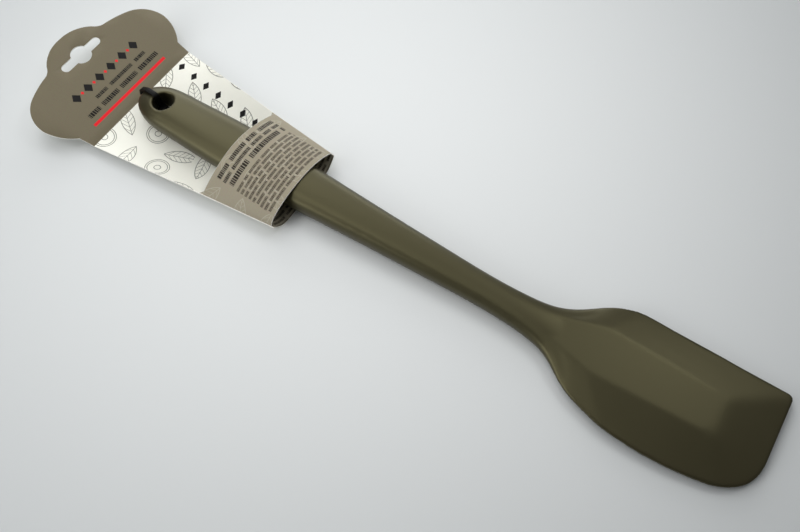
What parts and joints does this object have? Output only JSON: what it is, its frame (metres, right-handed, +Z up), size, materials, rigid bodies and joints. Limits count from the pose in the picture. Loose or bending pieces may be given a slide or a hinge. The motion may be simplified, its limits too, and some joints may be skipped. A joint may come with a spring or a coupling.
{
  "type": "silicone spatula",
  "caption": "Silicone spatula with a stiff core and a flat bevelled blade, held on a folded hang card with a sleeve, a slotted header and a cable tie.",
  "frame": {"origin": "middle of the footprint on the table the spatula and its card lie on", "axes": "+X along the handle from the card's header to the blade's end, +Y across to the square corner's side of the blade, +Z up"},
  "size_m": [0.3272, 0.0754, 0.0143],
  "materials": {
    "silicone": "matte moulded silicone, olive taupe",
    "nylon_core": "glass-filled nylon, as moulded",
    "card_panel": "coated folding board, cream with grey line pattern",
    "card_header": "coated folding board, printed taupe",
    "card_sleeve": "coated folding board, printed light taupe",
    "glue": "dried cold glue",
    "tie": "black nylon"
  },
  "bodies": {
    "spatula": {"silicone_body": "silicone", "stiffener_core": "nylon_core"},
    "card": {"card_back": "card_panel", "sleeve_front": "card_sleeve", "sleeve_flap": "card_panel", "sleeve_glue": "glue", "cable_tie": "tie"},
    "header": {"card_header": "card_header"}
  },
  "joints": [
    {"name": "card_play", "type": "slide", "parent": "spatula", "child": "card", "axis": [1, 0, 0], "range_m": [-0.0002, 0.0008]},
    {"name": "header_bend", "type": "hinge", "parent": "card", "child": "header", "pos_m": [-0.11864, -0.00043, 0.0038], "axis": [0.0213, 0.9998, 0], "range_deg": [-10, 45]}
  ]
}
